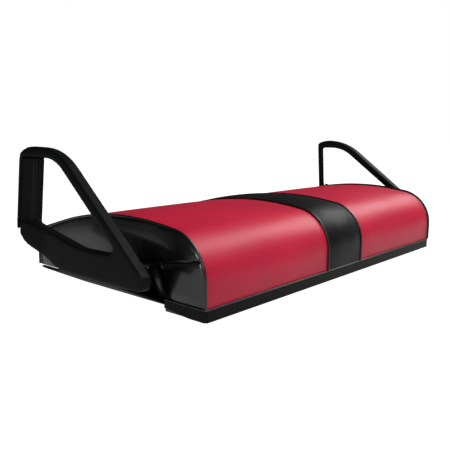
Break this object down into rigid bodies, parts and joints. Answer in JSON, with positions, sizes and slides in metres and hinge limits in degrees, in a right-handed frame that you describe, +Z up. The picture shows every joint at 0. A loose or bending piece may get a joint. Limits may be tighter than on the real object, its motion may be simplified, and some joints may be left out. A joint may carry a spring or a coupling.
{
  "type": "golf cart seat bottom",
  "caption": "Padded bench seat bottom for a golf cart, with a hip restraint loop at each end and hinges under its front edge so that it tips forward.",
  "frame": {"origin": "middle of the seat's length and depth, on the surface that its feet rest on", "axes": "+X along the seat to the right of a viewer who faces its front, +Y to the rear, +Z up"},
  "size_m": [1.164, 0.54, 0.3149],
  "materials": {
    "red_vinyl": "satin",
    "black_vinyl": "satin",
    "foam": "matte",
    "base_plastic": "matte",
    "restraint_plastic": "satin",
    "trim_plastic": "satin",
    "zinc_steel": "satin",
    "plate_steel": "satin",
    "foot_rubber": "matte"
  },
  "bodies": {
    "seat": {"cover_centre_strip": "black_vinyl", "cover_left": "red_vinyl", "cover_right": "red_vinyl", "edge_trim_front": "trim_plastic", "edge_trim_rear": "trim_plastic", "end_panel_lower_left": "black_vinyl", "end_panel_lower_right": "black_vinyl", "end_panel_upper_left": "black_vinyl", "end_panel_upper_right": "black_vinyl", "end_piping_left": "black_vinyl", "end_piping_right": "black_vinyl", "foam_core": "foam", "foot_screws": "zinc_steel", "hem_staples": "zinc_steel", "hinge_pin_clips": "zinc_steel", "hinge_pin_left": "zinc_steel", "hinge_pin_right": "zinc_steel", "hinge_screws": "zinc_steel", "hinge_seat_leaf_left": "zinc_steel", "hinge_seat_leaf_right": "zinc_steel", "hip_restraint_left": "restraint_plastic", "hip_restraint_right": "restraint_plastic", "restraint_bolts": "zinc_steel", "restraint_plate_left": "plate_steel", "restraint_plate_right": "plate_steel", "restraint_tee_nuts": "zinc_steel", "restraint_washers": "zinc_steel", "rubber_feet": "foot_rubber", "seat_base": "base_plastic", "strip_piping_left": "black_vinyl", "strip_piping_right": "black_vinyl", "trim_welt_front": "black_vinyl", "trim_welt_rear": "black_vinyl"},
    "cart_leaf_left": {"hinge_cart_leaf_left": "zinc_steel"},
    "cart_leaf_right": {"hinge_cart_leaf_right": "zinc_steel"}
  },
  "joints": [
    {"name": "tip_forward_left", "type": "hinge", "parent": "seat", "child": "cart_leaf_left", "pos_m": [-0.28, -0.22, 0.007], "axis": [-1, 0, 0], "range_deg": [0, 100]},
    {"name": "tip_forward_right", "type": "hinge", "parent": "seat", "child": "cart_leaf_right", "pos_m": [0.28, -0.22, 0.007], "axis": [-1, 0, 0], "range_deg": [0, 100]}
  ],
  "couplings": [
    {"joint": "tip_forward_right", "follows": "tip_forward_left", "ratio": 1}
  ]
}
